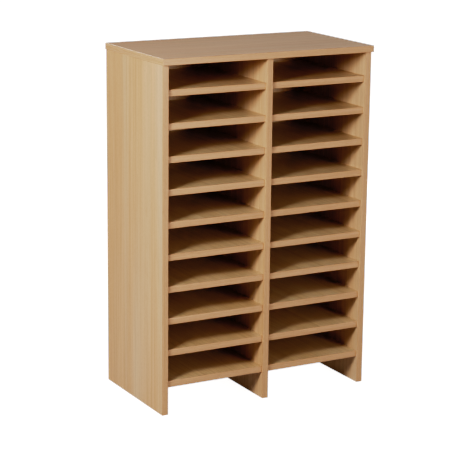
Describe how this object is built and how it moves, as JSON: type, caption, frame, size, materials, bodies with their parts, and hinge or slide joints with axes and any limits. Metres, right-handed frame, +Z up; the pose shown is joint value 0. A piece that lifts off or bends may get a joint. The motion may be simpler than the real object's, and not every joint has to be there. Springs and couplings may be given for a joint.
{
  "type": "pigeonhole sorter",
  "caption": "Floor-standing pigeonhole sorter in beech-effect board: overhanging top, plain sides and centre divider that run down as feet, and fixed shelves that form columns of open slots.",
  "frame": {"origin": "on the floor, under the centre of the bounding box", "axes": "+X to the right as seen from the open front, +Y from the open front to the back, +Z up"},
  "size_m": [0.646, 0.353, 0.968],
  "materials": {
    "faced_board": "satin beech-effect melamine",
    "edging": "satin beech-effect ABS strip",
    "back_board": "satin beech-effect melamine",
    "dowel_beech": "raw turned beech",
    "zinc_screw": "bright zinc plate"
  },
  "bodies": {
    "root": {"top_panel": "faced_board", "left_side": "faced_board", "right_side": "faced_board", "centre_divider": "faced_board", "left_shelf_1": "faced_board", "left_shelf_2": "faced_board", "left_shelf_3": "faced_board", "left_shelf_4": "faced_board", "left_shelf_5": "faced_board", "left_shelf_6": "faced_board", "left_shelf_7": "faced_board", "left_shelf_8": "faced_board", "left_shelf_9": "faced_board", "left_shelf_10": "faced_board", "right_shelf_1": "faced_board", "right_shelf_2": "faced_board", "right_shelf_3": "faced_board", "right_shelf_4": "faced_board", "right_shelf_5": "faced_board", "right_shelf_6": "faced_board", "right_shelf_7": "faced_board", "right_shelf_8": "faced_board", "right_shelf_9": "faced_board", "right_shelf_10": "faced_board", "top_front_edging": "edging", "top_rear_edging": "edging", "top_left_edging": "edging", "top_right_edging": "edging", "left_side_edging": "edging", "right_side_edging": "edging", "centre_divider_edging": "edging", "left_shelf_edging_1": "edging", "left_shelf_edging_2": "edging", "left_shelf_edging_3": "edging", "left_shelf_edging_4": "edging", "left_shelf_edging_5": "edging", "left_shelf_edging_6": "edging", "left_shelf_edging_7": "edging", "left_shelf_edging_8": "edging", "left_shelf_edging_9": "edging", "left_shelf_edging_10": "edging", "right_shelf_edging_1": "edging", "right_shelf_edging_2": "edging", "right_shelf_edging_3": "edging", "right_shelf_edging_4": "edging", "right_shelf_edging_5": "edging", "right_shelf_edging_6": "edging", "right_shelf_edging_7": "edging", "right_shelf_edging_8": "edging", "right_shelf_edging_9": "edging", "right_shelf_edging_10": "edging", "back_panel": "back_board", "left_side_dowels": "dowel_beech", "divider_dowels": "dowel_beech", "right_side_dowels": "dowel_beech", "top_dowels": "dowel_beech", "back_screws": "zinc_screw"}
  },
  "joints": []
}
